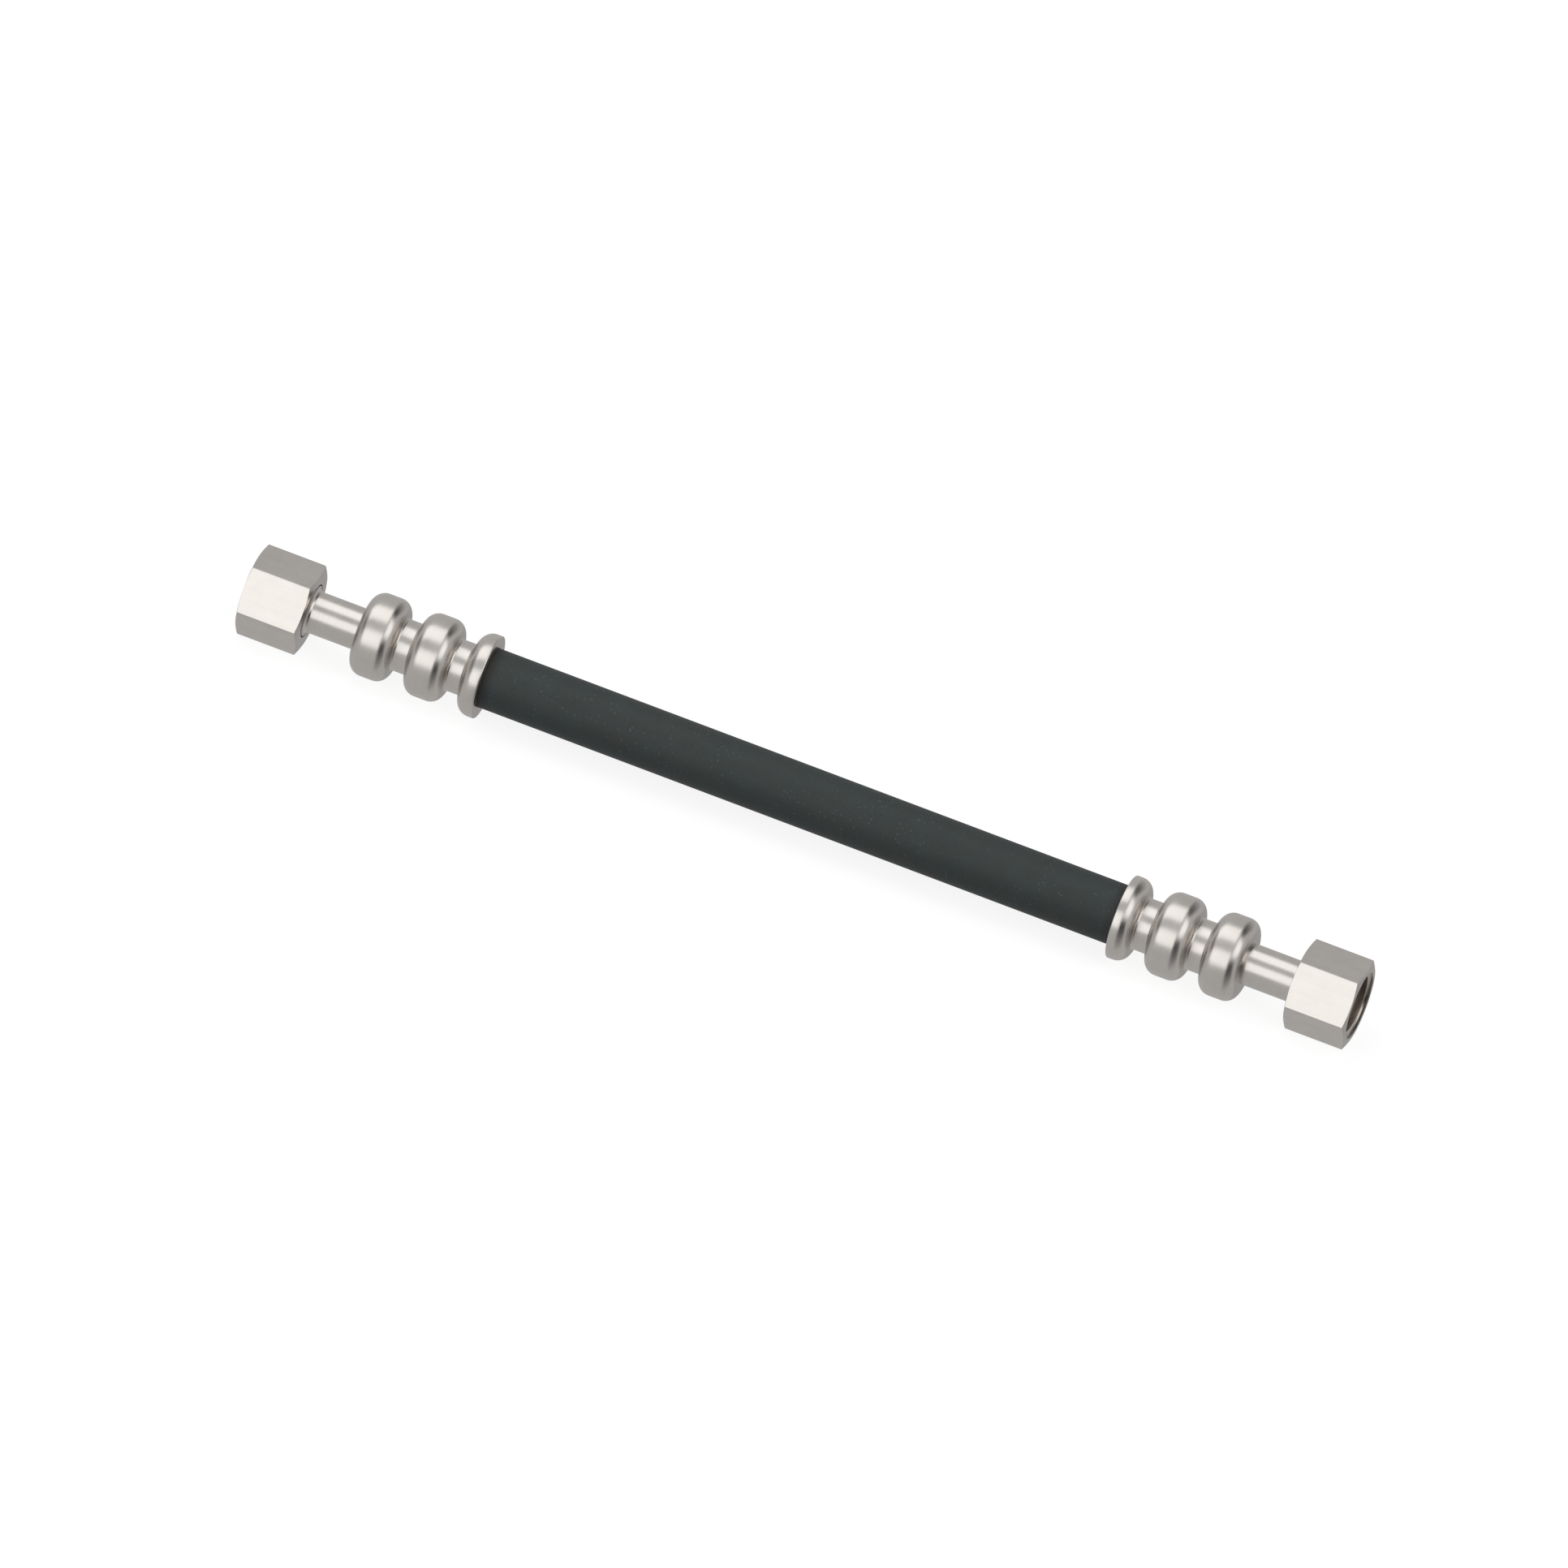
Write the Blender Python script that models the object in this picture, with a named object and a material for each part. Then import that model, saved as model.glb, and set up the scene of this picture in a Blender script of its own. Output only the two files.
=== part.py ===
"""Short hydraulic hose with a bubble-crimped ferrule and a 37 degree swivel nut at each end.

Metres, +Z up. The hose runs along X with its middle at the origin. Each end fitting is laid out
on its own axis, from the mouth of its ferrule (station 0) out to the face of its nut.
"""

import math

import bmesh
import bpy
from mathutils import Matrix

# Hose: one moulded piece, squeezed under the ferrules' necks
FREE_HOSE_LENGTH = 0.1452
HOSE_BORE_RADIUS = 0.003175
HOSE_WALL = 0.003465
CRIMPED_HOSE_WALL = 0.001395

# Ferrule: bulges between crimped necks, the first one cut through its middle by the mouth
BULGE_COUNT = 3
BULGE_PITCH = 0.01235
CROWN_WIDTH = 0.00278
CROWN_WALL = 0.00231
NECK_WALL = 0.00118
NECK_FILLET = 0.00055
END_WALL = 0.0012
LIP_DEPTH = 0.0004

# Stem: barbed nipple, hose stop, lip groove, tube, collar and the seat in its head
NIPPLE_SETBACK = 0.0015
NIPPLE_WALL = 0.0005
BARB_COUNT = 5
BARB_HEIGHT = 0.0003
BARB_BACK = 0.0003
TUBE_LENGTH = 0.01154
COLLAR_FILLET = 0.00107
HEAD_SHOULDER = 0.00083
SEAT_DEPTH = 0.0086
SEAT_LAND = 0.0005
SEAT_ANGLE = math.radians(37)

# Swivel nut: 9/16-18 thread, left here as its smooth minor bore
NUT_LENGTH = 0.0139
THREAD_MINOR_RADIUS = 0.00645
THREAD_RELIEF = 0.00035
RELIEF_RUNOUT = 0.0004
MOUTH_STEP = 0.00105
MOUTH_DEPTH = 0.0005
MOUTH_TAPER = 0.0003
NUT_RIM_WALL = 0.00123
NUT_FACE_INSET = 0.0002
NUT_CHAMFER_ANGLE = math.radians(16)
NUT_BACK_WALL = 0.0012
NUT_SIDES = 6

# Clearances
SEAT_GAP = 0.0003
SWIVEL_GAP = 0.0003

# Fineness of the turned surfaces
FACETS = 32
CORNER_STEPS = 4
HIDDEN_CORNER_STEPS = 2
MERGE_DISTANCE = 0.000001
SHARP_ANGLE = math.radians(32)

# Radii that follow, from the bore outwards
hose_radius = HOSE_BORE_RADIUS + HOSE_WALL
barb_radius = HOSE_BORE_RADIUS - SEAT_GAP
barb_root_radius = barb_radius - BARB_HEIGHT
stem_bore_radius = barb_root_radius - NIPPLE_WALL
crimped_hose_radius = barb_root_radius + SEAT_GAP + CRIMPED_HOSE_WALL
neck_bore_radius = crimped_hose_radius + SEAT_GAP
neck_radius = neck_bore_radius + NECK_WALL
crown_bore_radius = hose_radius + SEAT_GAP
crown_radius = crown_bore_radius + CROWN_WALL

relief_radius = THREAD_MINOR_RADIUS + THREAD_RELIEF
head_radius = relief_radius - SWIVEL_GAP
collar_radius = head_radius - HEAD_SHOULDER
nut_hole_radius = collar_radius + SWIVEL_GAP
tube_radius = collar_radius - COLLAR_FILLET
lip_radius = tube_radius - LIP_DEPTH
groove_radius = lip_radius - SEAT_GAP
mouth_radius = THREAD_MINOR_RADIUS + MOUTH_STEP
nut_flat_radius = mouth_radius + NUT_RIM_WALL
nut_face_radius = nut_flat_radius - NUT_FACE_INSET
nut_corner_radius = nut_flat_radius / math.cos(math.pi / NUT_SIDES)

# Stations along a fitting, from the ferrule's mouth outwards
last_bulge = (BULGE_COUNT - 1) * BULGE_PITCH
ferrule_end = last_bulge + CROWN_WIDTH / 2 + crown_radius - neck_radius - NECK_FILLET
cavity_end = ferrule_end - END_WALL
hose_end = cavity_end - (crown_bore_radius - lip_radius)
hose_stop = hose_end + SEAT_GAP
nut_back = ferrule_end + TUBE_LENGTH
nut_centre = nut_back + NUT_LENGTH / 2
seat_rim = nut_back + NUT_LENGTH - SEAT_DEPTH


def arc(centre, radius, start, end, steps):
    """Points (station, radius) along an arc, both ends included; angles in degrees."""
    points = []
    for step in range(steps + 1):
        angle = math.radians(start + (end - start) * step / steps)
        points.append((centre[0] + radius * math.cos(angle), centre[1] + radius * math.sin(angle)))
    return points


def bead_row(crown, neck, fillet, steps):
    """Outline of the crimped bulges, from the mouth's half bulge to the foot of the last crown."""
    corner = crown - neck - fillet
    half_crown = CROWN_WIDTH / 2
    foot = half_crown + corner + fillet
    points = [(0, crown)]
    for bulge in range(1, BULGE_COUNT):
        before = (bulge - 1) * BULGE_PITCH
        centre = bulge * BULGE_PITCH
        points += arc((before + half_crown, neck + fillet), corner, 90, 0, steps)
        if fillet:
            points += arc((before + foot, neck + fillet), fillet, 180, 270, 1)[1:]
            points += arc((centre - foot, neck + fillet), fillet, 270, 360, 1)[:-1]
        points += arc((centre - half_crown, neck + fillet), corner, 180, 90, steps)
    return points


def barb_row():
    """Outline of the nipple's barbs: a long ramp up from the tip, then a short back face."""
    pitch = (hose_end - NIPPLE_SETBACK) / BARB_COUNT
    points = [(NIPPLE_SETBACK, barb_root_radius)]
    for barb in range(BARB_COUNT):
        end = NIPPLE_SETBACK + (barb + 1) * pitch
        points.append((end - BARB_BACK, barb_radius))
        points.append((end, barb_root_radius))
    return points


def turned_mesh(name, outline):
    """Closed mesh of a closed outline (station, radius) spun round the X axis."""
    shape = bmesh.new()
    verts = [shape.verts.new((station, 0, radius)) for station, radius in outline]
    edges = [shape.edges.new((verts[i - 1], verts[i])) for i in range(len(verts))]
    half_facet = Matrix.Rotation(math.pi / FACETS, 3, "X")
    bmesh.ops.rotate(shape, verts=verts, cent=(0, 0, 0), matrix=half_facet)
    bmesh.ops.spin(
        shape, geom=verts + edges, cent=(0, 0, 0), axis=(1, 0, 0), angle=math.tau, steps=FACETS
    )
    return finished_mesh(name, shape)


def finished_mesh(name, shape):
    """Merge the seam, point the faces outwards and shade the round faces smooth."""
    bmesh.ops.remove_doubles(shape, verts=shape.verts, dist=MERGE_DISTANCE)
    bmesh.ops.recalc_face_normals(shape, faces=shape.faces)
    mesh = bpy.data.meshes.new(name)
    shape.to_mesh(mesh)
    shape.free()
    mesh.shade_smooth()
    mesh.set_sharp_from_angle(angle=SHARP_ANGLE)
    return mesh


def common_solid(name, first, second):
    """Mesh of what two closed meshes have in common."""
    body = bpy.data.objects.new(name, first)
    cutter = bpy.data.objects.new(name + "_blank", second)
    bpy.context.collection.objects.link(body)
    bpy.context.collection.objects.link(cutter)
    boolean = body.modifiers.new("turned", "BOOLEAN")
    boolean.operation = "INTERSECT"
    boolean.object = cutter
    evaluated = body.evaluated_get(bpy.context.evaluated_depsgraph_get())
    mesh = bpy.data.meshes.new_from_object(evaluated)
    mesh.name = name
    bpy.data.objects.remove(body)
    bpy.data.objects.remove(cutter)
    mesh.shade_smooth()
    mesh.set_sharp_from_angle(angle=SHARP_ANGLE)
    return mesh


def hose_mesh():
    """Rubber hose, straight between the ferrules and moulded to their necks and barbs inside."""
    mouth = FREE_HOSE_LENGTH / 2
    outside = bead_row(hose_radius, crimped_hose_radius, SEAT_GAP, HIDDEN_CORNER_STEPS)[1:]
    outside.append((hose_end, hose_radius))
    bore = [(0, HOSE_BORE_RADIUS)]
    bore += [(station, radius + SEAT_GAP) for station, radius in barb_row()]
    half = outside + bore[::-1]
    right = [(mouth + station, radius) for station, radius in half]
    left = [(-station, radius) for station, radius in right]
    return turned_mesh("hose", right + left[::-1])


def ferrule_mesh():
    """Ferrule: bulges and necks outside and in, and a lip that drops into the stem's groove."""
    outside = bead_row(crown_radius, neck_radius, NECK_FILLET, CORNER_STEPS)
    corner = crown_radius - neck_radius - NECK_FILLET
    last_corner = (last_bulge + CROWN_WIDTH / 2, neck_radius + NECK_FILLET)
    outside += arc(last_corner, corner, 90, 0, CORNER_STEPS)
    outside.append((ferrule_end, lip_radius))
    inside = bead_row(crown_bore_radius, neck_bore_radius, 0, HIDDEN_CORNER_STEPS)
    cavity_corner = crown_bore_radius - lip_radius
    inside += arc((hose_end, lip_radius), cavity_corner, 90, 0, HIDDEN_CORNER_STEPS)
    return turned_mesh("ferrule", outside + inside[::-1])


def stem_mesh():
    """Stem: barbs, hose stop, groove, tube, filleted collar and head with its concave seat."""
    groove_start = cavity_end - SEAT_GAP
    groove_end = ferrule_end + SEAT_GAP
    head_back = nut_back + NUT_BACK_WALL + SWIVEL_GAP * (math.sqrt(2) - 1)
    seat_rim_radius = head_radius - SEAT_LAND
    seat_throat = seat_rim - (seat_rim_radius - stem_bore_radius) / math.tan(SEAT_ANGLE)
    outline = [(NIPPLE_SETBACK, stem_bore_radius)]
    outline += barb_row()
    outline += [
        (hose_stop, barb_root_radius),
        (hose_stop, tube_radius),
        (groove_start, tube_radius),
        (groove_start, groove_radius),
        (groove_end, groove_radius),
        (groove_end, tube_radius),
    ]
    fillet_centre = (nut_back - COLLAR_FILLET, collar_radius)
    outline += arc(fillet_centre, COLLAR_FILLET, 270, 360, CORNER_STEPS)
    outline += [
        (head_back, collar_radius),
        (head_back + HEAD_SHOULDER, head_radius),
        (seat_rim, head_radius),
        (seat_rim, seat_rim_radius),
        (seat_throat, stem_bore_radius),
    ]
    return turned_mesh("stem", outline)


def nut_mesh():
    """Swivel nut about its own middle: hexagon with turned ends, mouth, bore, relief and back."""
    front = NUT_LENGTH / 2
    back = -front
    rim = front - SEAT_DEPTH
    blank_radius = nut_corner_radius + NUT_RIM_WALL
    chamfer = (blank_radius - nut_face_radius) * math.tan(NUT_CHAMFER_ANGLE)
    blank = [
        (back, nut_face_radius),
        (back + chamfer, blank_radius),
        (front - chamfer, blank_radius),
        (front, nut_face_radius),
        (front, mouth_radius),
        (front - MOUTH_DEPTH, mouth_radius),
        (front - MOUTH_DEPTH - MOUTH_TAPER, THREAD_MINOR_RADIUS),
        (rim + RELIEF_RUNOUT + THREAD_RELIEF, THREAD_MINOR_RADIUS),
        (rim + RELIEF_RUNOUT, relief_radius),
        (back + NUT_BACK_WALL + relief_radius - nut_hole_radius, relief_radius),
        (back + NUT_BACK_WALL, nut_hole_radius),
        (back, nut_hole_radius),
    ]
    hexagon = bmesh.new()
    bmesh.ops.create_cone(
        hexagon,
        cap_ends=True,
        segments=NUT_SIDES,
        radius1=nut_corner_radius,
        radius2=nut_corner_radius,
        depth=NUT_LENGTH + 2 * NUT_RIM_WALL,
        matrix=Matrix.Rotation(math.pi / 2, 4, "Y"),
    )
    bar = finished_mesh("hexagon_bar", hexagon)
    return common_solid("swivel_nut", bar, turned_mesh("turned_blank", blank))


def material(name, colour, roughness, metallic):
    """Plain finish for one kind of piece."""
    finish = bpy.data.materials.new(name)
    finish.use_nodes = True
    shader = finish.node_tree.nodes["Principled BSDF"]
    shader.inputs["Base Color"].default_value = (*colour, 1.0)
    shader.inputs["Roughness"].default_value = roughness
    shader.inputs["Metallic"].default_value = metallic
    finish.diffuse_color = (*colour, 1.0)
    return finish


def placed(name, mesh, parent=None, station=0.0):
    """Object of a mesh on its parent's axis."""
    piece = bpy.data.objects.new(name, mesh)
    bpy.context.collection.objects.link(piece)
    piece.parent = parent
    piece.location.x = station
    return piece


def fitting_axis(side, direction):
    """Empty at a ferrule's mouth whose X axis runs out along the fitting."""
    axis = bpy.data.objects.new(side + "_fitting_axis", None)
    bpy.context.collection.objects.link(axis)
    axis.location.x = direction * FREE_HOSE_LENGTH / 2
    axis.rotation_euler.z = 0.0 if direction > 0 else math.pi
    return axis


def build():
    for old in list(bpy.data.objects):
        bpy.data.objects.remove(old)

    hose = hose_mesh()
    hose.materials.append(material("black_rubber", (0.035, 0.042, 0.042), 0.62, 0.0))
    placed("hose", hose)

    meshes = {"ferrule": ferrule_mesh(), "stem": stem_mesh(), "swivel_nut": nut_mesh()}
    finishes = {
        "ferrule": material("crimped_plated_steel", (0.62, 0.59, 0.56), 0.30, 1.0),
        "stem": material("turned_plated_steel", (0.62, 0.59, 0.56), 0.26, 1.0),
        "swivel_nut": material("milled_plated_steel", (0.64, 0.61, 0.58), 0.22, 1.0),
    }
    for piece, mesh in meshes.items():
        mesh.materials.clear()
        mesh.materials.append(finishes[piece])

    for side, direction in (("right", 1), ("left", -1)):
        axis = fitting_axis(side, direction)
        placed(side + "_ferrule", meshes["ferrule"], axis)
        placed(side + "_stem", meshes["stem"], axis)
        placed(side + "_swivel_nut", meshes["swivel_nut"], axis, nut_centre)


build()
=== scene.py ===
"""Short hydraulic hose with a crimped ferrule and a swivel nut at each end, in a pale studio.

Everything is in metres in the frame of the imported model: the hose runs along X with its middle at
the origin. The right fitting is modelled where it lies and the left one is a turned copy of it.
"""

import math

import bmesh
import bpy
from mathutils import Matrix, Vector


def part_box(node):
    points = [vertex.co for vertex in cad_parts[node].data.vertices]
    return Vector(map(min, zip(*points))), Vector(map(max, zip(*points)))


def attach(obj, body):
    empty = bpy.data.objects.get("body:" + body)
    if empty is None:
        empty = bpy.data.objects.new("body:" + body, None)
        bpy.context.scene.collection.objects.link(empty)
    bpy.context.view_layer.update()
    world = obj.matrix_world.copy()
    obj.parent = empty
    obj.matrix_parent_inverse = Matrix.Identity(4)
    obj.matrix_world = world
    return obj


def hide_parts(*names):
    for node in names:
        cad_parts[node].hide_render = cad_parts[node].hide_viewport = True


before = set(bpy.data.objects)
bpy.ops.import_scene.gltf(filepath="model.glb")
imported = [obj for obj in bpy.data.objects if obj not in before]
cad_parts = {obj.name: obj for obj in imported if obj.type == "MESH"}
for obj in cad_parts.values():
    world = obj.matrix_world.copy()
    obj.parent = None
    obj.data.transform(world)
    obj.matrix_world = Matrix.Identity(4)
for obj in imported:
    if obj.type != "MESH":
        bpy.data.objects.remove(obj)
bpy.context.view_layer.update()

# Stations along the hose, read from the frame
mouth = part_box("right_ferrule")[0].x
ferrule_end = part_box("right_ferrule")[1].x
hose_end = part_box("hose")[1].x
nut_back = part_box("right_swivel_nut")[0].x
nut_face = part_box("right_swivel_nut")[1].x
nut_flat_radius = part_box("right_swivel_nut")[1].z

# Hose
HOSE_RADIUS = 0.00664
HOSE_BORE_RADIUS = 0.003175
CRIMPED_HOSE_RADIUS = 0.00427
HOSE_ROUNDING = 0.0003

# Ferrule
BULGE_COUNT = 3
BULGE_PITCH = 0.01235
CROWN_WIDTH = 0.00278
CROWN_RADIUS = 0.00925
NECK_RADIUS = 0.00575
NECK_FILLET = 0.00055
LIP_RADIUS = 0.0042
END_WALL = 0.0012
MOUTH_ROUNDING = 0.00025
CRIMP_FIT = 0.00002

# Stem
NIPPLE_SETBACK = 0.0015
STEM_BORE_RADIUS = 0.002075
BARB_COUNT = 5
BARB_RADIUS = 0.002875
BARB_ROOT_RADIUS = 0.002575
BARB_BACK = 0.0003
BARB_CLEARANCE = 0.0003
TUBE_RADIUS = 0.0046
COLLAR_RADIUS = 0.00567
HEAD_RADIUS = 0.0065
SEAT_LAND = 0.0005
SEAT_ANGLE = math.radians(37)
SEAT_DEPTH = 0.0086

# Swivel nut, threaded 9/16-18
NUT_SIDES = 6
NUT_FACE_RADIUS = 0.00853
NUT_CHAMFER_ANGLE = math.radians(16)
NUT_BLANK_MARGIN = 0.0012
NUT_BACK_WALL = 0.0012
NUT_HOLE_RADIUS = 0.00597
THREAD_MINOR_RADIUS = 0.00645
THREAD_MAJOR_RADIUS = 0.00714
THREAD_PITCH = 0.0254 / 18
THREAD_ROOT_FLAT = THREAD_PITCH / 8
THREAD_FLANK_ANGLE = math.radians(30)
RELIEF_RADIUS = 0.0068
RELIEF_RUNOUT = 0.0004
MOUTH_RADIUS = 0.0075
MOUTH_DEPTH = 0.0005
MOUTH_TAPER = 0.0003
SWIVEL_GAP = 0.0003

# Edges and fineness
BROKEN_EDGE = 0.00008
LARGE_ROUNDING = 0.0008
CORNER_SEGMENTS = 12
EDGE_SEGMENTS = 3
ROUND_SEGMENTS = 144
MERGE_DISTANCE = 0.000001
PICK_DISTANCE = 0.000005
SEED_PLANE_SIZE = 0.0001
ALONG_THE_AXIS = 0.9
SMOOTH_ANGLE = math.radians(31)

# Finishes
STEEL_COLOUR = (0.648, 0.615, 0.580)
CRIMPED_ROUGHNESS = 0.29
TURNED_ROUGHNESS = 0.27
MILLED_ROUGHNESS = 0.22
PLATING_RELIEF = 0.0000006
THREAD_COLOUR = (0.56, 0.49, 0.42)
THREAD_RELIEF = 0.000002
RUBBER_COLOUR = (0.0365, 0.049, 0.051)
DRY_RUBBER_COLOUR = (0.0395, 0.047, 0.0415)
# Pale colour of the specks, a painted highlight on their small raised bumps
SPECK_HIGHLIGHT_COLOUR = (0.122, 0.15, 0.15)
# Colour and length of the painted shade on the hose next to each ferrule mouth
MOUTH_SHADE_COLOUR = (0.02, 0.0175, 0.015)
MOUTH_SHADE_LENGTH = 0.0026
RUBBER_RELIEF = 0.000006

# Picture and studio
PICTURE_SIDE = 1932
METRES_PER_PIXEL = 0.0001715
VIEW_ELEVATION = math.radians(35.3)
VIEW_TOWARDS_RIGHT_END = 0.174
PICTURE_ROLL = math.radians(20.64)
OBJECT_RIGHT_OF_CENTRE = 26.2
OBJECT_BELOW_CENTRE = 15.95
CAMERA_DISTANCE = 1.2
CAMERA_REACH = 10
FLOOR_SIZE = 6
FLOOR_GREY = (0.3, 0.3, 0.3, 1)
FLOOR_GLOW = 0.86
EVEN_LIGHT = 0.22
PANEL_DISTANCE = 2.5
ROOM_RADIUS = 14
ROOM_GREY = 0.54


# Camera


def add_camera():
    """Long-lens view from the front and above, leaning towards the right end and rolled."""
    axis = Vector((1, 0, 0))
    square_on = Vector((0, -math.cos(VIEW_ELEVATION), math.sin(VIEW_ELEVATION)))
    lean = VIEW_TOWARDS_RIGHT_END
    towards_camera = (lean * axis + math.sqrt(1 - lean**2) * square_on).normalized()
    along = (axis - axis.dot(towards_camera) * towards_camera).normalized()
    across = axis.cross(square_on).normalized()
    right = math.cos(PICTURE_ROLL) * along - math.sin(PICTURE_ROLL) * across
    down = math.sin(PICTURE_ROLL) * along + math.cos(PICTURE_ROLL) * across

    camera = bpy.data.objects.new("camera", bpy.data.cameras.new("camera"))
    bpy.context.scene.collection.objects.link(camera)
    camera.data.type = "ORTHO"
    camera.data.ortho_scale = PICTURE_SIDE * METRES_PER_PIXEL
    camera.data.clip_end = CAMERA_REACH
    camera.rotation_euler = Matrix((right, -down, towards_camera)).transposed().to_euler()
    camera.location = (
        CAMERA_DISTANCE * towards_camera
        - OBJECT_RIGHT_OF_CENTRE * METRES_PER_PIXEL * right
        - OBJECT_BELOW_CENTRE * METRES_PER_PIXEL * down
    )
    bpy.context.scene.camera = camera


# Modelling steps


def pick(piece):
    """Selects one piece and nothing else."""
    bpy.ops.object.select_all(action="DESELECT")
    bpy.context.view_layer.objects.active = piece
    piece.select_set(True)


def edit(piece):
    """Opens one piece for editing by its vertices, with nothing selected."""
    pick(piece)
    bpy.ops.object.mode_set(mode="EDIT")
    bpy.ops.mesh.select_mode(type="VERT")
    bpy.ops.mesh.select_all(action="DESELECT")


def leave_edit():
    bpy.ops.object.mode_set(mode="OBJECT")


def close_up():
    """Merges the doubles of the piece being edited and turns its faces outwards."""
    bpy.ops.mesh.select_all(action="SELECT")
    bpy.ops.mesh.remove_doubles(threshold=MERGE_DISTANCE)
    bpy.ops.mesh.normals_make_consistent(inside=False)


def draw_outline(name, points):
    """Closed outline through (station, radius) points, drawn by extruding one vertex."""
    bpy.ops.object.select_all(action="DESELECT")
    bpy.ops.mesh.primitive_plane_add(size=SEED_PLANE_SIZE)
    outline = bpy.context.object
    outline.name = name
    edit(outline)
    bpy.ops.mesh.select_all(action="SELECT")
    bpy.ops.mesh.merge(type="CENTER")
    places = [Vector((station, 0, radius)) for station, radius in points]
    bpy.ops.transform.translate(value=places[0])
    for start, end in zip(places, places[1:] + places[:1]):
        bpy.ops.mesh.extrude_vertices_move(TRANSFORM_OT_translate={"value": end - start})
    bpy.ops.mesh.select_all(action="SELECT")
    bpy.ops.mesh.remove_doubles(threshold=MERGE_DISTANCE)
    bpy.ops.mesh.select_all(action="DESELECT")
    return outline


def round_corner(outline, point, rounding, segments):
    """Rounds the outline's corner at one point."""
    shape = bmesh.from_edit_mesh(outline.data)
    place = Vector((point[0], 0, point[1]))
    for vert in shape.verts:
        vert.select = (vert.co - place).length < PICK_DISTANCE
    shape.select_flush_mode()
    bmesh.update_edit_mesh(outline.data)
    bpy.ops.mesh.bevel(
        offset=rounding, segments=segments, affect="VERTICES", clamp_overlap=False
    )
    bpy.ops.mesh.select_all(action="DESELECT")


def turned(name, corners):
    """Piece turned on the hose's axis from corners (station, radius, rounding).

    Larger roundings are made before smaller ones.
    """
    piece = draw_outline(name, [corner[:2] for corner in corners])
    for station, radius, rounding in sorted(corners, key=lambda corner: -corner[2]):
        if rounding:
            segments = CORNER_SEGMENTS if rounding > LARGE_ROUNDING else EDGE_SEGMENTS
            round_corner(piece, (station, radius), rounding, segments)
    bpy.ops.mesh.select_all(action="SELECT")
    bpy.ops.mesh.remove_doubles(threshold=MERGE_DISTANCE)
    bpy.ops.mesh.spin(steps=ROUND_SEGMENTS, angle=math.tau, center=(0, 0, 0), axis=(1, 0, 0))
    close_up()
    leave_edit()
    shade(piece)
    return piece


def shade(piece):
    """Smooth shading that leaves real edges sharp."""
    pick(piece)
    bpy.ops.object.shade_smooth_by_angle(angle=SMOOTH_ANGLE)


def combine(piece, tool, operation):
    """Cuts or trims a piece with a second one, which is then deleted."""
    pick(piece)
    boolean = piece.modifiers.new("cut", "BOOLEAN")
    boolean.operation = operation
    boolean.object = tool
    bpy.ops.object.modifier_apply(modifier=boolean.name)
    bpy.data.objects.remove(tool)
    edit(piece)
    close_up()
    leave_edit()


def turned_round(piece, name):
    """Copy of a right-hand piece for the left end, turned half a turn about Z."""
    pick(piece)
    bpy.ops.object.duplicate()
    copy = bpy.context.object
    copy.name = name
    copy.rotation_euler.z = math.pi
    bpy.ops.object.transform_apply(location=False, rotation=True, scale=False)
    return copy


# Hose, ferrule, stem and nut


def bead_row(crown, neck, fillet):
    """Corners of the crimped bulges, from the mouth's half bulge to the last crown."""
    corner = crown - neck - fillet
    side = CROWN_WIDTH / 2 + corner
    corners = []
    for bulge in range(1, BULGE_COUNT):
        centre = mouth + bulge * BULGE_PITCH
        before = centre - BULGE_PITCH
        corners += [
            (before + side, crown, corner),
            (before + side, neck, fillet),
            (centre - side, neck, fillet),
            (centre - side, crown, corner),
        ]
    return corners


def barb_row(clearance):
    """Corners of the nipple's barbs, long ramps up from the tip with short backs."""
    tip = mouth + NIPPLE_SETBACK
    pitch = (hose_end - tip) / BARB_COUNT
    corners = [(tip, BARB_ROOT_RADIUS + clearance, 0)]
    for barb in range(1, BARB_COUNT + 1):
        corners.append((tip + barb * pitch - BARB_BACK, BARB_RADIUS + clearance, 0))
        corners.append((tip + barb * pitch, BARB_ROOT_RADIUS + clearance, 0))
    return corners


def make_hose():
    """Rubber hose, straight between the ferrules and squeezed to their necks inside them."""
    outside = bead_row(HOSE_RADIUS, CRIMPED_HOSE_RADIUS, HOSE_ROUNDING)
    outside.append((hose_end, HOSE_RADIUS, HOSE_ROUNDING))
    bore = [(mouth, HOSE_BORE_RADIUS, 0)] + barb_row(BARB_CLEARANCE)
    right = outside + bore[::-1]
    left = [(-station, radius, rounding) for station, radius, rounding in right]
    return turned("hose_cover", right + left[::-1])


def make_ferrule():
    """Ferrule: bulges and necks outside and in, closed on the hose, with a lip at its outer end."""
    corner = CROWN_RADIUS - NECK_RADIUS - NECK_FILLET
    cavity_end = ferrule_end - END_WALL
    cavity_radius = HOSE_RADIUS + CRIMP_FIT
    cavity_neck = CRIMPED_HOSE_RADIUS + CRIMP_FIT
    corners = [(mouth, CROWN_RADIUS, MOUTH_ROUNDING)]
    corners += bead_row(CROWN_RADIUS, NECK_RADIUS, NECK_FILLET)
    corners += [
        (ferrule_end, CROWN_RADIUS, corner),
        (ferrule_end, LIP_RADIUS, 0),
        (cavity_end, LIP_RADIUS, 0),
        (cavity_end, cavity_radius, cavity_radius - TUBE_RADIUS),
    ]
    corners += bead_row(cavity_radius, cavity_neck, HOSE_ROUNDING - CRIMP_FIT)[::-1]
    corners.append((mouth, cavity_radius, BROKEN_EDGE))
    return turned("right_ferrule_shell", corners)


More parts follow.
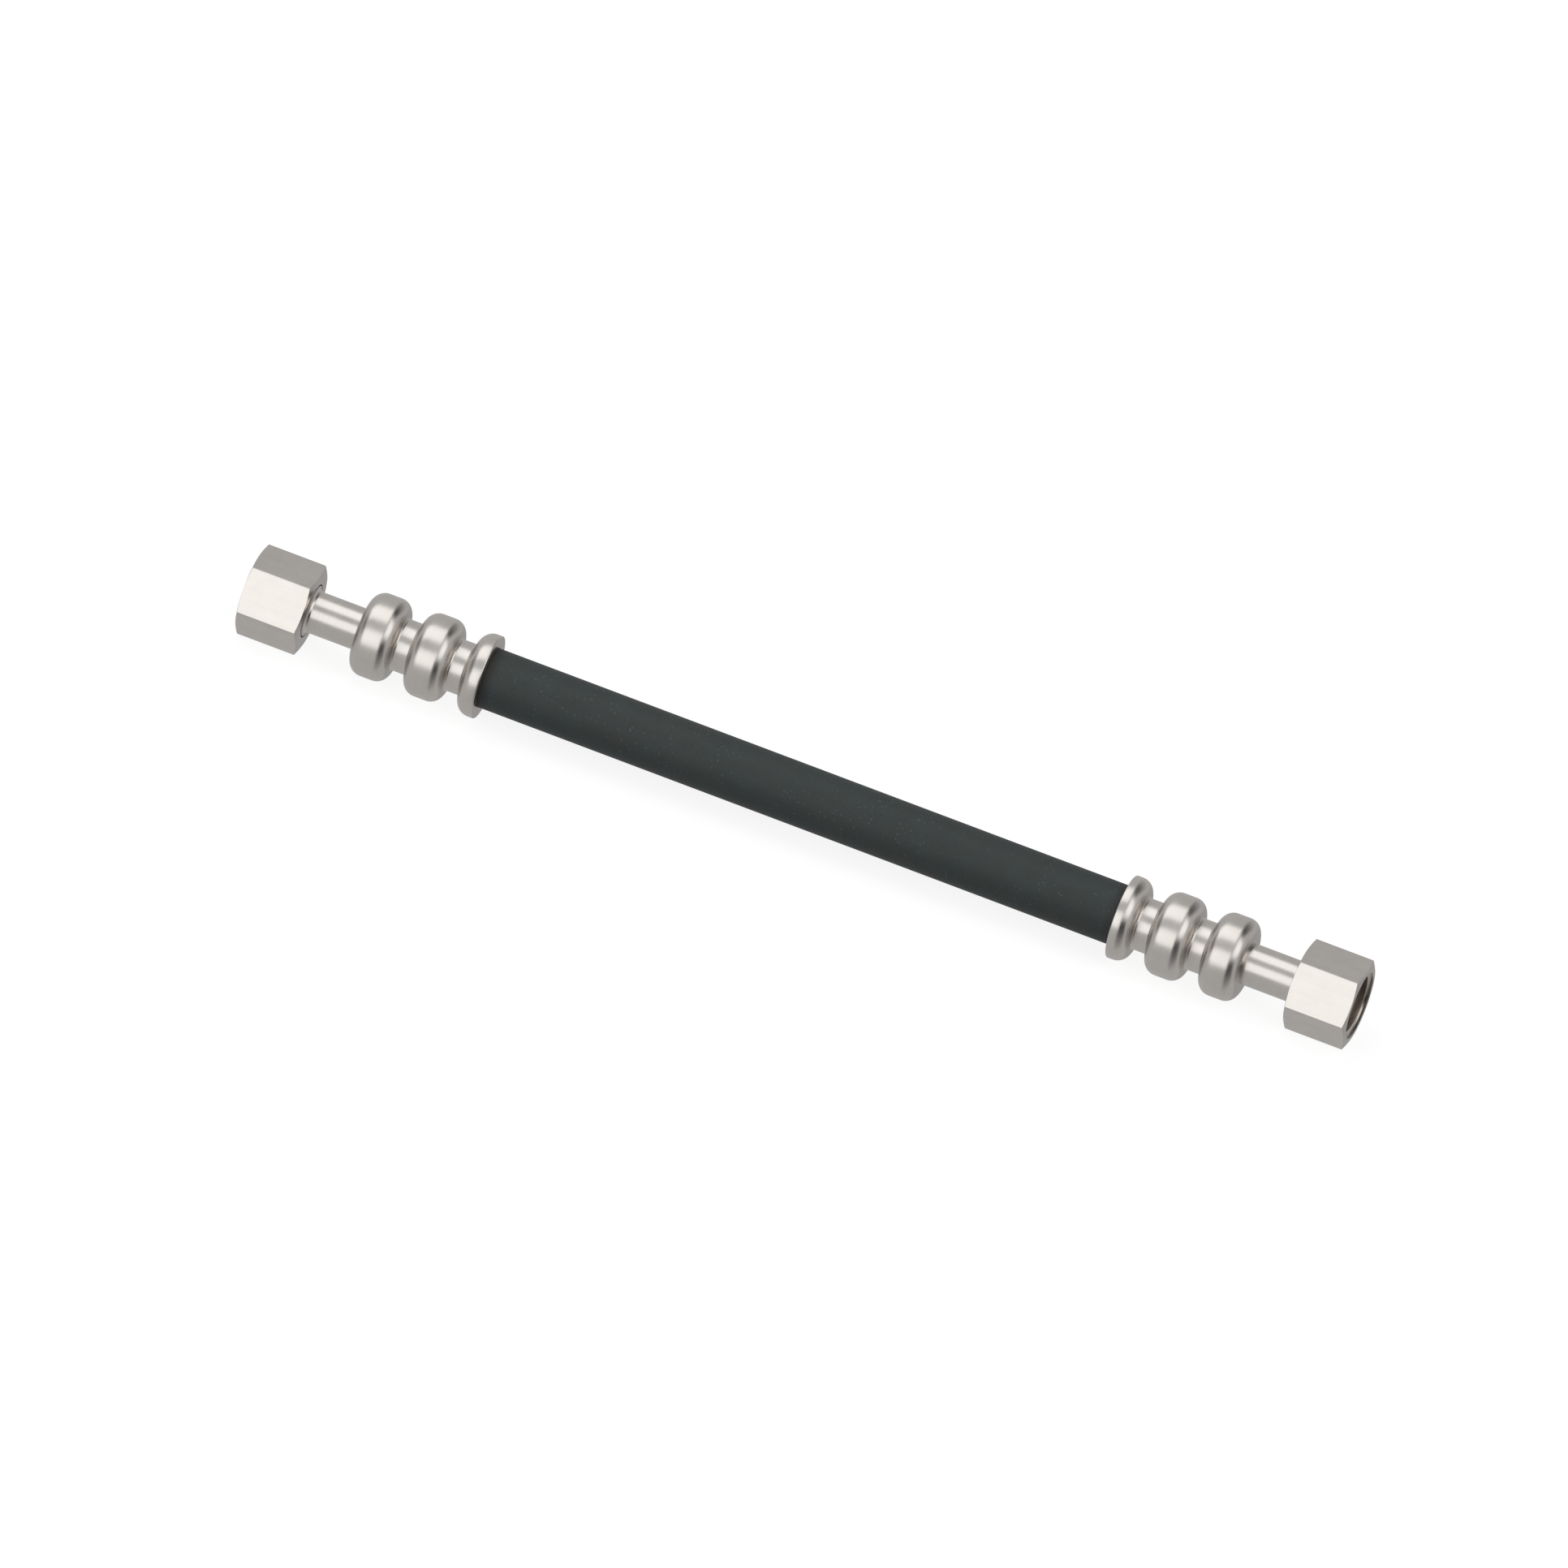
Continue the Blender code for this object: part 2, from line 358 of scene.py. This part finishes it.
def make_stem():
    """Stem: barbs, hose stop, lip groove, tube, filleted collar and head with its concave seat."""
    cavity_end = ferrule_end - END_WALL
    hose_stop = hose_end + BARB_CLEARANCE
    # The gap to the nut is the same square to its 45 degree shoulder as it is round the collar
    head_back = nut_back + NUT_BACK_WALL + SWIVEL_GAP * (math.sqrt(2) - 1)
    seat_rim = nut_face - SEAT_DEPTH
    seat_rim_radius = HEAD_RADIUS - SEAT_LAND
    seat_throat = seat_rim - (seat_rim_radius - STEM_BORE_RADIUS) / math.tan(SEAT_ANGLE)
    corners = [(mouth + NIPPLE_SETBACK, STEM_BORE_RADIUS, 0)] + barb_row(0)
    corners += [
        (hose_stop, BARB_ROOT_RADIUS, 0),
        (hose_stop, TUBE_RADIUS, 0),
        (cavity_end - CRIMP_FIT, TUBE_RADIUS, 0),
        (cavity_end - CRIMP_FIT, LIP_RADIUS - CRIMP_FIT, 0),
        (ferrule_end, LIP_RADIUS - CRIMP_FIT, 0),
        (ferrule_end, TUBE_RADIUS, 0),
        (nut_back, TUBE_RADIUS, COLLAR_RADIUS - TUBE_RADIUS),
        (nut_back, COLLAR_RADIUS, BROKEN_EDGE),
        (head_back, COLLAR_RADIUS, 0),
        (head_back + HEAD_RADIUS - COLLAR_RADIUS, HEAD_RADIUS, 0),
        (seat_rim, HEAD_RADIUS, BROKEN_EDGE),
        (seat_rim, seat_rim_radius, BROKEN_EDGE),
        (seat_throat, STEM_BORE_RADIUS, BROKEN_EDGE),
    ]
    return turned("right_stem_turning", corners)


def thread_cutter():
    """Coil of the shape that the 60 degree thread takes out of the nut's bore."""
    inner = THREAD_MINOR_RADIUS - SWIVEL_GAP / 2
    half_root = THREAD_ROOT_FLAT / 2
    half_mouth = half_root + (THREAD_MAJOR_RADIUS - inner) * math.tan(THREAD_FLANK_ANGLE)
    start = nut_face - SEAT_DEPTH + RELIEF_RUNOUT
    end = nut_face - MOUTH_DEPTH / 2
    groove = [
        (start - half_mouth, inner),
        (start - half_root, THREAD_MAJOR_RADIUS),
        (start + half_root, THREAD_MAJOR_RADIUS),
        (start + half_mouth, inner),
    ]
    coil = draw_outline("thread_coil", groove)
    leave_edit()
    screw = coil.modifiers.new("coil", "SCREW")
    screw.axis = "X"
    screw.screw_offset = THREAD_PITCH
    screw.iterations = round((end - start) / THREAD_PITCH)
    screw.steps = screw.render_steps = ROUND_SEGMENTS
    bpy.ops.object.modifier_apply(modifier=screw.name)
    edit(coil)
    bpy.ops.mesh.select_non_manifold()
    bpy.ops.mesh.fill_holes(sides=len(groove))
    bpy.ops.mesh.select_all(action="SELECT")
    bpy.ops.mesh.normals_make_consistent(inside=False)
    leave_edit()
    return coil


def make_nut():
    """Swivel nut: hexagonal bar trimmed to a turned blank, then threaded."""
    middle = (nut_back + nut_face) / 2
    corner_radius = nut_flat_radius / math.cos(math.pi / NUT_SIDES)
    blank_radius = corner_radius + NUT_BLANK_MARGIN
    chamfer = (blank_radius - NUT_FACE_RADIUS) * math.tan(NUT_CHAMFER_ANGLE)
    rim = nut_face - SEAT_DEPTH
    blank = turned(
        "turned_blank",
        [
            (nut_back, NUT_FACE_RADIUS, 0),
            (nut_back + chamfer, blank_radius, 0),
            (nut_face - chamfer, blank_radius, 0),
            (nut_face, NUT_FACE_RADIUS, 0),
            (nut_face, MOUTH_RADIUS, 0),
            (nut_face - MOUTH_DEPTH, MOUTH_RADIUS, 0),
            (nut_face - MOUTH_DEPTH - MOUTH_TAPER, THREAD_MINOR_RADIUS, 0),
            (rim + RELIEF_RUNOUT + RELIEF_RADIUS - THREAD_MINOR_RADIUS, THREAD_MINOR_RADIUS, 0),
            (rim + RELIEF_RUNOUT, RELIEF_RADIUS, 0),
            (nut_back + NUT_BACK_WALL + RELIEF_RADIUS - NUT_HOLE_RADIUS, RELIEF_RADIUS, 0),
            (nut_back + NUT_BACK_WALL, NUT_HOLE_RADIUS, 0),
            (nut_back, NUT_HOLE_RADIUS, BROKEN_EDGE),
        ],
    )
    bpy.ops.object.select_all(action="DESELECT")
    bpy.ops.mesh.primitive_cylinder_add(
        vertices=NUT_SIDES,
        radius=corner_radius,
        depth=nut_face - nut_back + 2 * NUT_BLANK_MARGIN,
        location=(middle, 0, 0),
        rotation=(0, math.pi / 2, 0),
    )
    nut = bpy.context.object
    nut.name = "right_nut_hexagon"
    bpy.ops.object.transform_apply(location=True, rotation=True, scale=True)
    edit(nut)
    shape = bmesh.from_edit_mesh(nut.data)
    bpy.ops.mesh.select_mode(type="EDGE")
    for edge in shape.edges:
        direction = (edge.verts[0].co - edge.verts[1].co).normalized()
        edge.select = abs(direction.x) > ALONG_THE_AXIS
    bmesh.update_edit_mesh(nut.data)
    bpy.ops.mesh.bevel(offset=BROKEN_EDGE, segments=EDGE_SEGMENTS, affect="EDGES")
    leave_edit()
    combine(nut, blank, "INTERSECT")
    combine(nut, thread_cutter(), "DIFFERENCE")
    shade(nut)
    return nut


def finish_bore(nut):
    """Gives the nut's thread, relief and back hole the second finish."""
    edit(nut)
    bpy.ops.mesh.select_mode(type="FACE")
    shape = bmesh.from_edit_mesh(nut.data)
    for face in shape.faces:
        middle = face.calc_center_median()
        face.select = (
            math.hypot(middle.y, middle.z) < MOUTH_RADIUS
            and nut_back < middle.x < nut_face - MOUTH_DEPTH - MOUTH_TAPER
        )
    bmesh.update_edit_mesh(nut.data)
    nut.active_material_index = 1
    bpy.ops.object.material_slot_assign()
    leave_edit()


# Finishes


def new_material(name):
    """New material with its nodes and links."""
    finish = bpy.data.materials.new(name)
    finish.use_nodes = True
    return finish, finish.node_tree.nodes, finish.node_tree.links


def place_on_piece(nodes):
    """Position on the piece, in metres."""
    return nodes.new("ShaderNodeTexCoord").outputs["Object"]


def stretched(nodes, links, places, scale):
    """Position scaled along each axis."""
    mapping = nodes.new("ShaderNodeMapping")
    mapping.inputs["Scale"].default_value = scale
    links.new(places, mapping.inputs["Vector"])
    return mapping.outputs["Vector"]


def station_and_radius(nodes, links, places):
    """Position as (station, distance from the axis, 0), the same all the way round."""
    parts = nodes.new("ShaderNodeSeparateXYZ")
    links.new(places, parts.inputs[0])
    across = nodes.new("ShaderNodeCombineXYZ")
    links.new(parts.outputs["Y"], across.inputs["Y"])
    links.new(parts.outputs["Z"], across.inputs["Z"])
    radius = nodes.new("ShaderNodeVectorMath")
    radius.operation = "LENGTH"
    links.new(across.outputs[0], radius.inputs[0])
    both = nodes.new("ShaderNodeCombineXYZ")
    links.new(parts.outputs["X"], both.inputs["X"])
    links.new(radius.outputs["Value"], both.inputs["Y"])
    return both.outputs[0]


def noise(nodes, links, places, scale, detail):
    """Soft random pattern with about scale features in a metre."""
    texture = nodes.new("ShaderNodeTexNoise")
    texture.inputs["Scale"].default_value = scale
    texture.inputs["Detail"].default_value = detail
    links.new(places, texture.inputs["Vector"])
    return texture.outputs["Fac"]


def ranged(nodes, links, value, low, high, start=0.3, end=0.7):
    """Value between start and end brought to between low and high."""
    level = nodes.new("ShaderNodeMapRange")
    level.inputs["From Min"].default_value = start
    level.inputs["From Max"].default_value = end
    level.inputs["To Min"].default_value = low
    level.inputs["To Max"].default_value = high
    links.new(value, level.inputs["Value"])
    return level.outputs["Result"]


def tinted(nodes, links, colour, *levels):
    """Colour made lighter or darker by each level in turn."""
    result = None
    for level in levels:
        scale = nodes.new("ShaderNodeVectorMath")
        scale.operation = "SCALE"
        if result is None:
            scale.inputs[0].default_value = colour
        else:
            links.new(result, scale.inputs[0])
        links.new(level, scale.inputs["Scale"])
        result = scale.outputs[0]
    return result


def mixed(nodes, links, base, colour, share):
    """Base turned into another colour by the share given."""
    mix = nodes.new("ShaderNodeMix")
    mix.data_type = "RGBA"
    sockets = {socket.identifier: socket for socket in mix.inputs}
    sockets["B_Color"].default_value = (*colour, 1)
    links.new(share, sockets["Factor_Float"])
    links.new(base, sockets["A_Color"])
    return next(socket for socket in mix.outputs if socket.identifier == "Result_Color")


def calculated(nodes, links, operation, first, second):
    """Result of "ADD" or "MULTIPLY" on two values."""
    result = nodes.new("ShaderNodeMath")
    result.operation = operation
    links.new(first, result.inputs[0])
    links.new(second, result.inputs[1])
    return result.outputs[0]


def moved_about(nodes, links, places, scale, distance):
    """Position shifted by up to half a distance, which makes outlines uneven."""
    texture = nodes.new("ShaderNodeTexNoise")
    texture.inputs["Scale"].default_value = scale
    links.new(places, texture.inputs["Vector"])
    centred = nodes.new("ShaderNodeVectorMath")
    centred.operation = "SUBTRACT"
    centred.inputs[1].default_value = (0.5, 0.5, 0.5)
    links.new(texture.outputs["Color"], centred.inputs[0])
    shift = nodes.new("ShaderNodeVectorMath")
    shift.operation = "MULTIPLY_ADD"
    shift.inputs[1].default_value = (distance, distance, distance)
    links.new(centred.outputs[0], shift.inputs[0])
    links.new(places, shift.inputs[2])
    return shift.outputs[0]


def roughened(nodes, links, height, depth, shader):
    """Bumps as deep as depth where the height is 1."""
    bump = nodes.new("ShaderNodeBump")
    bump.inputs["Distance"].default_value = depth
    links.new(height, bump.inputs["Height"])
    links.new(bump.outputs["Normal"], shader.inputs["Normal"])


def plated_steel(name, roughness, marks):
    """Satin warm grey plating over the tool marks of the steel below it.

    marks is "turned" for fine rings round the axis or "drawn" for fine streaks along it.
    """
    finish, nodes, links = new_material(name)
    shader = nodes["Principled BSDF"]
    shader.inputs["Metallic"].default_value = 1.0
    places = place_on_piece(nodes)
    if marks == "turned":
        lined = station_and_radius(nodes, links, places)
        lines = noise(nodes, links, lined, scale=9000, detail=2)
        broad = noise(nodes, links, lined, scale=1400, detail=1)
    else:
        lined = stretched(nodes, links, places, scale=(0.02, 1, 1))
        lines = noise(nodes, links, lined, scale=7000, detail=2)
        broad = noise(nodes, links, lined, scale=900, detail=1)
    clouds = noise(nodes, links, places, scale=320, detail=3)
    frost = noise(nodes, links, places, scale=16000, detail=1)

    cloudy = ranged(nodes, links, clouds, low=0.972, high=1.028)
    streaky = ranged(nodes, links, broad, low=0.988, high=1.012)
    links.new(tinted(nodes, links, STEEL_COLOUR, cloudy, streaky), shader.inputs["Base Color"])
    worn = ranged(nodes, links, clouds, low=roughness - 0.02, high=roughness + 0.02)
    tooled = ranged(nodes, links, lines, low=-0.015, high=0.015)
    links.new(calculated(nodes, links, "ADD", worn, tooled), shader.inputs["Roughness"])
    line_height = ranged(nodes, links, lines, low=0, high=0.6)
    frost_height = ranged(nodes, links, frost, low=0, high=0.4)
    height = calculated(nodes, links, "ADD", line_height, frost_height)
    roughened(nodes, links, height, PLATING_RELIEF, shader)
    return finish


def threaded_steel(name):
    """Bare, slightly oiled steel of the thread, which the plating barely reaches."""
    finish, nodes, links = new_material(name)
    shader = nodes["Principled BSDF"]
    shader.inputs["Metallic"].default_value = 1.0
    places = place_on_piece(nodes)
    lined = station_and_radius(nodes, links, places)
    lines = noise(nodes, links, lined, scale=6000, detail=2)
    clouds = noise(nodes, links, places, scale=500, detail=3)
    oiled = ranged(nodes, links, clouds, low=0.85, high=1.1)
    links.new(tinted(nodes, links, THREAD_COLOUR, oiled), shader.inputs["Base Color"])
    links.new(ranged(nodes, links, lines, low=0.42, high=0.52), shader.inputs["Roughness"])
    roughened(nodes, links, lines, THREAD_RELIEF, shader)
    return finish


def dots(nodes, links, uneven, places, cells_in_a_metre):
    """Small marks with uneven outlines, thicker in some parts of the hose than in others."""
    cells = nodes.new("ShaderNodeTexVoronoi")
    cells.inputs["Scale"].default_value = cells_in_a_metre
    links.new(uneven, cells.inputs["Vector"])
    marks = ranged(nodes, links, cells.outputs["Distance"], low=1, high=0, start=0.1, end=0.2)
    patches = noise(nodes, links, places, scale=cells_in_a_metre / 8, detail=1)
    crowding = ranged(nodes, links, patches, low=0.2, high=1, start=0.43, end=0.57)
    return calculated(nodes, links, "MULTIPLY", marks, crowding)


def black_rubber(name):
    """Charcoal rubber: fine moulded grain, dry patches, raised specks with painted highlights,
    painted shade in pits and next to the ferrule mouths.
    """
    finish, nodes, links = new_material(name)
    shader = nodes["Principled BSDF"]
    shader.inputs["Specular IOR Level"].default_value = 0.5
    places = place_on_piece(nodes)
    grain = noise(nodes, links, places, scale=5200, detail=3)
    clouds = noise(nodes, links, places, scale=170, detail=4)
    dry_patches = noise(nodes, links, places, scale=210, detail=3)
    uneven = moved_about(nodes, links, places, scale=5000, distance=0.0003)
    # Pale specks: small raised bumps whose light colour is a painted highlight
    highlight_specks = dots(nodes, links, uneven, places, cells_in_a_metre=940)
    # Dark marks: painted shade of small pits, darkening the rubber's colour
    shaded_pit_marks = dots(nodes, links, uneven, places, cells_in_a_metre=840)
    parts = nodes.new("ShaderNodeSeparateXYZ")
    links.new(places, parts.inputs[0])
    from_middle = nodes.new("ShaderNodeMath")
    from_middle.operation = "ABSOLUTE"
    links.new(parts.outputs["X"], from_middle.inputs[0])

    grainy = ranged(nodes, links, grain, low=0.86, high=1.14)
    cloudy = ranged(nodes, links, clouds, low=0.9, high=1.1)
    pit_shade = ranged(nodes, links, shaded_pit_marks, low=1, high=0.2, start=0, end=1)
    dry = ranged(nodes, links, dry_patches, low=0, high=0.9)
    pale = ranged(nodes, links, highlight_specks, low=0, high=0.8, start=0, end=1)
    # Painted shade: the hose darkens towards each ferrule mouth, where the ferrule shades it
    by_ferrule = ranged(
        nodes, links, from_middle.outputs[0], low=0, high=1, start=mouth - MOUTH_SHADE_LENGTH, end=mouth
    )
    painted_mouth_shade = ranged(nodes, links, by_ferrule, low=0, high=0.75, start=0, end=1)
    colour = tinted(nodes, links, RUBBER_COLOUR, grainy, cloudy, pit_shade)
    colour = mixed(nodes, links, colour, DRY_RUBBER_COLOUR, dry)
    colour = mixed(nodes, links, colour, SPECK_HIGHLIGHT_COLOUR, pale)
    colour = mixed(nodes, links, colour, MOUTH_SHADE_COLOUR, painted_mouth_shade)
    links.new(colour, shader.inputs["Base Color"])
    links.new(ranged(nodes, links, grain, low=0.56, high=0.66), shader.inputs["Roughness"])
    speck_height = ranged(nodes, links, highlight_specks, low=0, high=0.5, start=0, end=1)
    height = calculated(nodes, links, "ADD", grain, speck_height)
    roughened(nodes, links, height, RUBBER_RELIEF, shader)
    return finish


# Studio


def add_studio():
    """White floor, even light, three softboxes, and what the metal reflects between them."""
    add_floor()
    add_even_light()
    grey_room()
    softbox("overhead_softbox", around=(75, 121), lean=(-48, 4), strength=0.94)
    softbox("front_softbox", around=(1, 45), lean=(-46, 6), strength=0.91)
    softbox("side_softbox", around=(38, 94), lean=(18, 60), strength=0.91)
    dark_card("low_card", around=(-70, 28), lean=(8, 56), level=0.0, fade=(0.7, 0.08))
    dark_card("back_card", around=(103, 178), lean=(2, 38), level=0.0, fade=(0.08, 0.75))
    dark_card("end_card", around=(20, 115), lean=(-76, -52), level=0.15, fade=(0.3, 0.3))
    dark_card("under_card", around=(192, 240), lean=(-16, 50), level=0.42, fade=(0.2, 0.2))


def add_floor():
    """White floor that keeps the object's shadow."""
    bpy.ops.object.select_all(action="DESELECT")
    bpy.ops.mesh.primitive_plane_add(size=FLOOR_SIZE, location=(0, 0, -CROWN_RADIUS))
    floor = bpy.context.object
    floor.name = "studio_floor"
    finish, nodes, links = new_material("white_floor")
    nodes.clear()
    output = nodes.new("ShaderNodeOutputMaterial")
    diffuse = nodes.new("ShaderNodeBsdfDiffuse")
    diffuse.inputs["Color"].default_value = FLOOR_GREY
    glow = nodes.new("ShaderNodeEmission")
    level = nodes.new("ShaderNodeMath")
    level.operation = "MULTIPLY"
    level.inputs[1].default_value = FLOOR_GLOW
    links.new(seen_rays(nodes, links), level.inputs[0])
    links.new(level.outputs[0], glow.inputs["Strength"])
    both = nodes.new("ShaderNodeAddShader")
    links.new(diffuse.outputs[0], both.inputs[0])
    links.new(glow.outputs[0], both.inputs[1])
    links.new(both.outputs[0], output.inputs["Surface"])
    floor.data.materials.append(finish)
    floor.visible_glossy = False


def add_even_light():
    """Weak light from all sides, which is white where it is seen."""
    world = bpy.data.worlds.new("even_room")
    bpy.context.scene.world = world
    world.use_nodes = True
    nodes, links = world.node_tree.nodes, world.node_tree.links
    background = nodes["Background"]
    background.inputs["Color"].default_value = (1, 1, 1, 1)
    level = ranged(nodes, links, seen_rays(nodes, links), low=EVEN_LIGHT, high=1, start=0, end=1)
    links.new(level, background.inputs["Strength"])


def seen_rays(nodes, links):
    """1 for what the camera, gloss and glass see, 0 for what lights the rest."""
    path = nodes.new("ShaderNodeLightPath").outputs
    first = calculated(nodes, links, "ADD", path["Is Camera Ray"], path["Is Glossy Ray"])
    total = calculated(nodes, links, "ADD", first, path["Is Transmission Ray"])
    total.node.use_clamp = True
    return total


def place_round_hose(around, lean):
    """Width, height and placement of a flat panel, given by the angles of its edges at the hose.

    around runs from the front horizon up over the hose, lean from its left end to its right.
    """
    middle = math.radians(sum(around) / 2)
    height = 2 * PANEL_DISTANCE * math.tan(math.radians(around[1] - around[0]) / 2)
    left, right = (PANEL_DISTANCE * math.tan(math.radians(angle)) for angle in lean)
    outwards = Vector((0, -math.cos(middle), math.sin(middle)))
    along = Vector((1, 0, 0))
    turn = Matrix((along, outwards.cross(along), outwards)).transposed().to_euler()
    return right - left, height, outwards * PANEL_DISTANCE + along * (left + right) / 2, turn


def softbox(name, around, lean, strength):
    """Rectangular light that the camera doesn't see."""
    width, height, place, turn = place_round_hose(around, lean)
    light = bpy.data.lights.new(name, "AREA")
    light.shape = "RECTANGLE"
    light.size = width
    light.size_y = height
    light.energy = strength * math.pi * width * height
    lamp = bpy.data.objects.new(name, light)
    bpy.context.scene.collection.objects.link(lamp)
    lamp.location = place
    lamp.rotation_euler = turn
    lamp.visible_camera = False


def only_for_gloss(panel):
    """Keeps a panel out of the picture, the light and the shadows."""
    panel.visible_camera = False
    panel.visible_diffuse = False
    panel.visible_transmission = False
    panel.visible_shadow = False


def glowing_material(name):
    """New material that only glows, and the socket of its strength."""
    finish, nodes, links = new_material(name)
    nodes.clear()
    glow = nodes.new("ShaderNodeEmission")
    output = nodes.new("ShaderNodeOutputMaterial")
    links.new(glow.outputs[0], output.inputs["Surface"])
    return finish, nodes, links, glow.inputs["Strength"]


def grey_room():
    """Grey walls all round, which the metal reflects between the softboxes."""
    bpy.ops.object.select_all(action="DESELECT")
    bpy.ops.mesh.primitive_uv_sphere_add(segments=32, ring_count=16, radius=ROOM_RADIUS)
    walls = bpy.context.object
    walls.name = "grey_room"
    finish, _, _, strength = glowing_material("room_grey")
    strength.default_value = ROOM_GREY
    walls.data.materials.append(finish)
    only_for_gloss(walls)


def dark_card(name, around, lean, level, fade):
    """Dark card for the darker streaks on the metal.

    fade is the share of its height over which it turns into the room's grey towards each edge.
    """
    width, height, place, turn = place_round_hose(around, lean)
    bpy.ops.object.select_all(action="DESELECT")
    bpy.ops.mesh.primitive_plane_add(size=1, location=place, rotation=turn)
    card = bpy.context.object
    card.name = name
    card.scale = (width, height, 1)
    finish, nodes, links, strength = glowing_material(name + "_grey")
    parts = nodes.new("ShaderNodeSeparateXYZ")
    links.new(place_on_piece(nodes), parts.inputs[0])
    height_on_card = parts.outputs["Y"]
    rise = ranged(nodes, links, height_on_card, low=0, high=1, start=-0.5, end=-0.5 + fade[0])
    fall = ranged(nodes, links, height_on_card, low=1, high=0, start=0.5 - fade[1], end=0.5)
    dark = calculated(nodes, links, "MULTIPLY", rise, fall)
    links.new(ranged(nodes, links, dark, low=ROOM_GREY, high=level, start=0, end=1), strength)
    card.data.materials.append(finish)
    only_for_gloss(card)


# The whole object


def dress():
    """Models each piece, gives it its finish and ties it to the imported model."""
    rubber = black_rubber("black_rubber")
    crimped = plated_steel("crimped_plated_steel", CRIMPED_ROUGHNESS, "turned")
    turned_finish = plated_steel("turned_plated_steel", TURNED_ROUGHNESS, "turned")
    milled = plated_steel("milled_plated_steel", MILLED_ROUGHNESS, "drawn")
    threaded = threaded_steel("bare_thread_steel")

    hose = make_hose()
    hose.data.materials.append(rubber)
    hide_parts("hose")
    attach(hose, "hose_assembly")

    pieces = (
        (make_ferrule(), "ferrule", "hose_assembly", crimped, "crimped_steel"),
        (make_stem(), "stem", "hose_assembly", turned_finish, "turned_steel"),
        (make_nut(), "swivel_nut", None, milled, "milled_steel"),
    )
    for right, node, body, finish, slot in pieces:
        right.data.materials.clear()
        right.data.materials.append(finish)
        if node == "swivel_nut":
            right.data.materials.append(threaded)
            finish_bore(right)
        left = turned_round(right, right.name.replace("right", "left"))
        for piece, side in ((right, "right"), (left, "left")):
            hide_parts(f"{side}_{node}")
            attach(piece, body or f"{side}_nut")


add_camera()
add_studio()
dress()
bpy.context.scene.view_settings.view_transform = "Standard"
